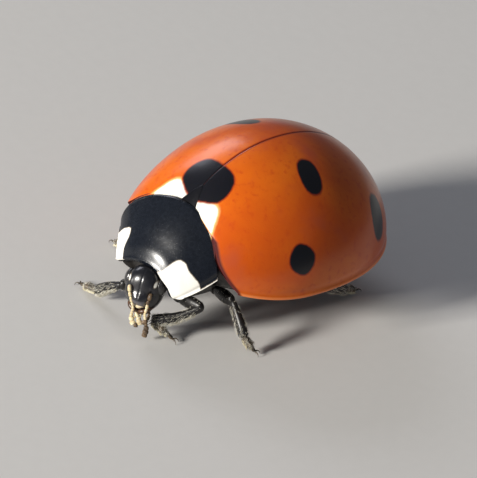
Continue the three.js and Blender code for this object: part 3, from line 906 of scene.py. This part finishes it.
def eye(side, name):
    centre = np.array([side * EYE["x"], EYE["y"], EYE["z"]])
    radii = EYE["radii"]
    points, faces = ball(centre, radii, 48, 32)
    # A ridge of the cheek notches the front edge of each eye.
    off = points - centre
    notch = np.exp(-((off[:, 2] + 0.06) ** 2) / 0.0015) * np.clip(-off[:, 1] / radii[1], 0, 1)
    points[:, 0] -= side * 0.06 * notch * np.clip(-side * off[:, 0] / radii[0] + 0.5, 0, 1)
    show(name, "eye", on_head((points, faces)))


def labrum():
    """The cream upper lip, a thin plate with a bowed edge."""
    v = np.linspace(0, 1, 16)[:, None]
    u = np.linspace(-1, 1, 25)
    x = u * 0.15 * (1 - 0.25 * v**3)
    y = -4.035 - 0.025 * np.sin(np.pi * v) + 0.08 * u**2 + 0.035 * v
    z = 0.955 - 0.13 * v + 0.03 * v * u**2
    half = 0.03 * np.sqrt(np.maximum(0.02, 1 - (2 * v - 1) ** 4))
    rings = np.concatenate([xyz(x, y - half, z), xyz(x, y + half, z)[:, ::-1]], axis=1)
    show("labrum", "labrum", on_head(loft(rings)), "cream")


def mandibles():
    """Two hooked jaws under the lip, and the lower lip's plate with its short palps."""
    piece = Piece("mandibles", "mouthparts")
    size = (0.085 - 0.05 * np.linspace(0, 1, 22)) * round_ends(22, 0.15, 0.2)
    for side in (-1, 1):
        path = smooth_path(np.multiply(JAW, (side, 1, 1)), 22)
        piece.add(*on_head(tube(path, size, size * 0.8, UP, 16)), "jaw")
    piece.add(*on_head(ball((0, -3.83, 0.70), (0.23, 0.15, 0.12), 28, 18)), "jaw")
    size = 0.024 * round_ends(16, 0.1, 0.2)
    for side in (-1, 1):
        path = smooth_path(np.multiply(LOWER_PALP, (side, 1, 1)), 16)
        piece.add(*on_head(tube(path, size, size, ACROSS, 12)), "cream")
    piece.build()


def palp(side, name):
    """A maxillary palp, whose last segment widens like a hatchet."""
    piece = Piece(name, "mouthparts")
    joints = PALPS[side]
    for a, b, (start, end) in zip(joints[:-1], joints[1:], PALP_RADII):
        wide = (start + (end - start) * np.linspace(0, 1, 14)) * round_ends(14, 0.15, 0.12)
        deep = np.minimum(wide, 0.045)
        shape = tube(smooth_path([a, b], 14), wide, deep, (1, 0.3, 0), 16)
        piece.add(*on_head(shape), PALP_MATERIALS[side])
    piece.build()


def antenna(side):
    """Eleven beads on a bent line, the last three a flattened club."""
    name = f"antenna_{side}"
    piece = Piece(name, "antenna")
    path = smooth_path(ANTENNAE[side], 1200)
    ends = np.r_[0, np.cumsum(ANTENNA_SEGMENTS)] / sum(ANTENNA_SEGMENTS)
    bead = 0.84 + 0.16 * np.sin(np.pi * np.clip(np.linspace(0, 1, 26) * 0.75 + 0.1, 0, 1))
    for i, radius in enumerate(ANTENNA_RADII):
        a, b = (int(end * 1199) for end in ends[i : i + 2])
        part = path[np.linspace(a, b, 26).astype(int)]
        size = radius * bead * round_ends(26, 0.24, 0.22)
        wide = size * (1.15 if i >= CLUB_FROM else 1)
        # The club's dark colour also paints shade on the left feeler's root.
        material = "club" if i in SHADED_AND_DARK_SEGMENTS[side] else "cream"
        piece.add(*on_head(tube(part, wide, size * 0.8, (1, 0, 0.2), 20)), material)
    piece.build()


# ---- Setae ----

SETA_RADIUS = 0.0042
PATCH = 0.003            # how much of the bake map each seta takes
SETA_RINGS = ((0.0, 1.0), (0.35, 0.85), (0.7, 0.55))      # share of the length, and of the radius
# The faces of one seta: three rings of three points and a tip.
SETA_FACES = (
    (2, 1, 0), (0, 1, 4, 3), (1, 2, 5, 4), (2, 0, 3, 5), (3, 4, 7, 6), (4, 5, 8, 7),
    (5, 3, 6, 8), (6, 7, 9), (7, 8, 9), (8, 6, 9),
)


class Setae:
    """Fine hairs, each a closed three-sided spike, joined in one mesh."""

    def __init__(self, name, slot, nodes, seed):
        self.piece = Piece(name, slot, nodes)
        self.random = np.random.default_rng(seed)
        self.maps = []

    def grow(self, roots, normals, lie, length, spots, lift, radius=SETA_RADIUS, material="seta"):
        """Hairs leaning along lie; spots are their places on the skin's unwrap."""
        count = len(roots)
        normals = unit(normals)
        toward = unit(lie + 0.25 * self.random.normal(size=(count, 3)))
        start = unit(toward * (1 - lift) + normals * lift)
        finish = unit(toward * (1.25 - lift) + normals * lift * 0.5)
        sizes = (length * self.random.uniform(0.7, 1.2, count))[:, None]
        across = unit(np.cross(start, normals + 0.01 * self.random.normal(size=(count, 3))))
        over = unit(np.cross(start, across))
        places = []
        for share, thick in SETA_RINGS:
            middle = roots + sizes * share * (start * (1 - share / 2) + finish * share / 2)
            for angle in (0, 2 * math.pi / 3, 4 * math.pi / 3):
                offset = math.cos(angle) * across + math.sin(angle) * over
                places.append(middle + offset * radius * thick)
        places.append(roots + sizes * (start * 0.5 + finish * 0.5))
        points = np.stack(places, axis=1)
        faces = [[i * len(places) + v for v in face] for i in range(count) for face in SETA_FACES]
        self.piece.add(points.reshape(-1, 3), faces, material)
        corner = np.array([(0, 0), (1, 0), (0.5, 1)] * 3 + [(0.5, 0.5)]) * PATCH - PATCH / 2
        self.maps.append((np.asarray(spots)[:, None] + corner[None]).reshape(-1, 2))

    def build(self):
        mesh = self.piece.build().data
        layer = mesh.uv_layers.new(name="OFBake")
        vertices = np.empty(len(mesh.loops), np.int32)
        mesh.loops.foreach_get("vertex_index", vertices)
        places = np.clip(np.concatenate(self.maps), 0, 1)
        layer.data.foreach_set("uv", places[vertices].ravel().astype(np.float32))


class Skin:
    """Where hairs can grow on a limb, and its strip of the unwrap."""

    def __init__(self, path, wide, deep, strip):
        self.fields = (path, *limb_axes(path, UP), wide[:, None], deep[:, None])
        self.strip = strip

    def cover(self, setae, count, length, span=(0.05, 0.95), toward=None, spread=None, **options):
        """Scatter hairs; toward and spread keep them to one side."""
        t = setae.random.uniform(*span, count)
        angle = setae.random.uniform(0, 2 * math.pi, count)
        last = len(self.fields[0]) - 1
        low = np.floor(t * last).astype(int)
        high = np.minimum(low + 1, last)
        mix = (t * last - low)[:, None]
        path, tangent, across, over, wide, deep = (
            values[low] * (1 - mix) + values[high] * mix for values in self.fields
        )
        cos, sin = np.cos(angle)[:, None], np.sin(angle)[:, None]
        normals = unit(cos * deep * across + sin * wide * over)
        roots = path + cos * wide * across + sin * deep * over - normals * 0.006
        lie = tangent
        keep = np.ones(count, bool)
        if toward is not None:
            keep = normals @ unit(toward) > spread
            lie = tangent + 0.5 * unit(toward)
        first, end = self.strip
        spots = np.stack([first + (end - first) * t, angle / (2 * math.pi)], axis=-1)
        setae.grow(roots[keep], normals[keep], lie[keep], length, spots[keep], **options)


def belly_setae():
    """Short hairs lying backwards over the plates of the belly."""
    setae = Setae("belly_setae", "underside", ["thorax", "abdomen"], SEED)
    count = 3200
    y = setae.random.uniform(-2.2, 2.5, count)
    angle = setae.random.uniform(-1.35, 1.35, count)
    edge = dome_point(y, math.pi / 2, BELLY["inset"])
    roots, sag = belly_point(edge, angle)
    normals = xyz(np.sin(angle) / edge[:, 0], 0.0, -np.cos(angle) / sag)
    setae.grow(roots, normals, (0.0, 1.0, 0.0), 0.08, 0.5 + roots[:, :2] / 7, lift=0.15)
    setae.build()


# ---- Legs ----

# How far a tibia bends up or down, half-way along.
TIBIA_BOW = 0.03
TIBIA_BOWS = {"front_left": -0.10, "mid_right": 0.04}
# Each lobe of the foot: where it starts and ends along the foot, and its radius there.
LOBES = ((0.0, 0.34, 0.085, 0.125), (0.28, 0.62, 0.09, 0.14), (0.58, 0.74, 0.05, 0.06))


def limb(piece, start, end, radii, flat, ends, count=36, bow=0.0):
    """One leg segment, with radii spread evenly along it; flat is its depth over its width."""
    path = smooth_path([start, (start + end) / 2 + [0, 0, bow], end], count)
    wide = np.interp(np.linspace(0, 1, count), np.linspace(0, 1, len(radii)), radii)
    wide = wide * round_ends(count, *ends)
    piece.add(*tube(path, wide, wide * flat, UP, 22), "leg")
    return path, wide, wide * flat


def spike(piece, path, start, end, side, sides):
    """A claw, a tooth or a spur."""
    size = np.linspace(start, end, len(path))
    piece.add(*tube(path, size, size, side, sides), "tarsus")


def claw_pair(piece, tip, forward):
    """Two curved claws at the end of a foot, each with a tooth near its base."""
    ahead = unit(forward * [1, 1, 0])
    for side in (-1, 1):
        beside = np.array([-ahead[1], ahead[0], 0.0]) * side
        root = tip + beside * 0.012
        point = root + ahead * 0.13 + beside * 0.07
        point[2] = 0.006
        middle = [
            root + ahead * 0.06 + beside * 0.03 + [0, 0, 0.012],
            root + ahead * 0.11 + beside * 0.06 + [0, 0, -0.02],
        ]
        spike(piece, smooth_path([root, *middle, point], 16), 0.022, 0.004, UP, 10)
        tooth = [root + ahead * 0.03, root + ahead * 0.06 + beside * 0.02 + [0, 0, -0.04]]
        spike(piece, smooth_path(tooth, 8), 0.014, 0.003, ACROSS, 8)


def leg(name, seed):
    nodes = [f"{name}_{part}" for part in ("coxa", "femur", "tibia", "tarsus")]
    coxa, femur, tibia, tarsus = (Piece(node, "leg") for node in nodes)
    setae = Setae(f"{name}_setae", "leg", nodes[1:], seed)
    hip, trochanter, knee, ankle, toe = (np.array(joint) for joint in LEGS[name])
    thigh = unit(knee - trochanter)
    limb(coxa, hip + [0, 0, 0.1], trochanter, [0.2, 0.23, 0.2, 0.15], 0.9, (0.1, 0.25))
    start, end = trochanter - thigh * 0.08, trochanter + thigh * 0.16
    limb(coxa, start, end, [0.11, 0.13, 0.12], 0.9, (0.3, 0.3), count=16)
    coxa.build()
    start, end = trochanter + thigh * 0.06, knee + thigh * 0.05
    radii = [0.11, 0.15, 0.175, 0.178, 0.155, 0.125]
    shape = limb(femur, start, end, radii, 0.72, (0.08, 0.14))
    femur.build()
    Skin(*shape, (0.02, 0.32)).cover(setae, 90, 0.07, lift=0.25)
    shin = unit(ankle - knee)
    start, end = knee - shin * 0.04, ankle + shin * 0.02
    radii = [0.085, 0.105, 0.125, 0.142, 0.152, 0.142]
    bow = TIBIA_BOWS.get(name, TIBIA_BOW)
    skin = Skin(*limb(tibia, start, end, radii, 0.8, (0.1, 0.06), bow=bow), (0.34, 0.64))
    skin.cover(setae, 80, 0.08, lift=0.25)
    # A dense fringe on both edges, and a thick pale one below the front shins.
    edge = np.cross(shin, [0, 0, 1])
    for side in (-1, 1):
        skin.cover(setae, 380, 0.085, (0.15, 0.99), side * edge, 0.45, lift=0.4)
    if name.startswith("front"):
        skin.cover(setae, 1500, 0.09, (0.2, 0.99), (0.2, -0.1, -1.0), 0.35, lift=0.35)
    for side in (-1, 1):
        # A spur at the tibia's end.
        start = ankle + unit(edge) * side * 0.06 - [0, 0, 0.03]
        path = smooth_path([start, start + shin * 0.09 - [0, 0, 0.03]], 8)
        spike(tibia, path, 0.016, 0.003, ACROSS, 8)
    tibia.build()
    foot(tarsus, ankle, toe, setae)
    setae.build()


def foot(piece, ankle, toe, setae):
    """Three lobed segments with brushes below, and a slender one with the claws."""
    line = smooth_path([ankle, ankle * 0.45 + toe * 0.55 + [0, 0, 0.02], toe], 100)
    sole = unit(toe - ankle) * [0.5, 0.5, 0] - UP
    for index, (a, b, start, end) in enumerate(LOBES):
        part = line[np.linspace(a * 99, b * 99, 16).astype(int)]
        wide = (start + (end - start) * np.linspace(0, 1, 16)) * round_ends(16, 0.2, 0.25)
        piece.add(*tube(part, wide * 0.75, wide, UP, 18), "tarsus")
        skin = Skin(part, wide * 0.75, wide, (0.66 + 0.1 * index, 0.74 + 0.1 * index))
        skin.cover(setae, 140, 0.06, lift=0.35)
        room = max(0.03, min(0.075, part[:, 2].mean() * 0.35))
        skin.cover(setae, 420, room, toward=sole, spread=0.25, lift=0.6, radius=0.007, material="pad")
    part = line[np.linspace(60, 99, 16).astype(int)]
    size = np.linspace(0.04, 0.05, 16) * round_ends(16, 0.1, 0.2)
    piece.add(*tube(part, size, size, UP, 14), "tarsus")
    claw_pair(piece, toe, toe - ankle)
    piece.build()


# ---- Floor and light ----

FLOOR_REACH_M = 0.6
LAMP_DISTANCE = 300.0
# Direction in the camera's own axes (right, up, towards it), size in mm, watts and colour.
LAMPS = [
    ("key", (-0.78, 0.08, 0.62), (60, 60), 1.5, (1.0, 0.96, 0.90)),
    ("sky", (-0.35, 0.88, -0.32), (150, 80), 0.175, (0.90, 0.90, 1.0)),
]


def floor_and_light():
    mesh = bpy.data.meshes.new("floor")
    corners = np.multiply([(-1, -1, 0), (1, -1, 0), (1, 1, 0), (-1, 1, 0)], FLOOR_REACH_M)
    mesh.from_pydata(corners.tolist(), [], [(0, 1, 2, 3)])
    s = Shader("floor_paper")
    grain = s.noise(3.0, 5.0)
    s.set(Base_Color=s.mix(grain, (0.70, 0.69, 0.67), (0.73, 0.72, 0.70)), Roughness=0.9)
    s.set(Specular_IOR_Level=0.1, Normal=s.bump(grain, 0.01, 0.15))
    mesh.materials.append(s.material)
    add_object("floor", mesh)

    world = bpy.data.worlds.new("studio")
    world.use_nodes = True
    background = world.node_tree.nodes["Background"]
    background.inputs["Color"].default_value = (0.80, 0.88, 1.0, 1.0)
    background.inputs["Strength"].default_value = 0.12
    bpy.context.scene.world = world
    bpy.context.scene.view_settings.view_transform = "Standard"

    right, up, back = view_axes()
    for name, direction, size, power, colour in LAMPS:
        toward = unit(direction[0] * right + direction[1] * up + direction[2] * back)
        data = bpy.data.lights.new(name, "AREA")
        data.shape = "RECTANGLE"
        data.size, data.size_y = (value * MM for value in size)
        data.energy, data.color = power, colour
        lamp = add_object(name, data)
        lamp.location = Vector(place(toward * LAMP_DISTANCE))
        lamp.rotation_euler = Vector(-toward).to_track_quat("-Z", "Y").to_euler()


def main():
    make_camera()
    make_materials()
    for side, sign in (("left", 1), ("right", -1)):
        wing_case(sign, f"elytron_{side}")
        eye(sign, f"eye_{side}")
        palp(sign, f"palp_{side}")
        antenna(side)
    trunk = (scutellum, pronotum, prothorax, thorax, abdomen, belly_setae)
    for build in (*trunk, head, labrum, mandibles):
        build()
    for index, name in enumerate(LEGS):
        leg(name, SEED + index)
    floor_and_light()


main()
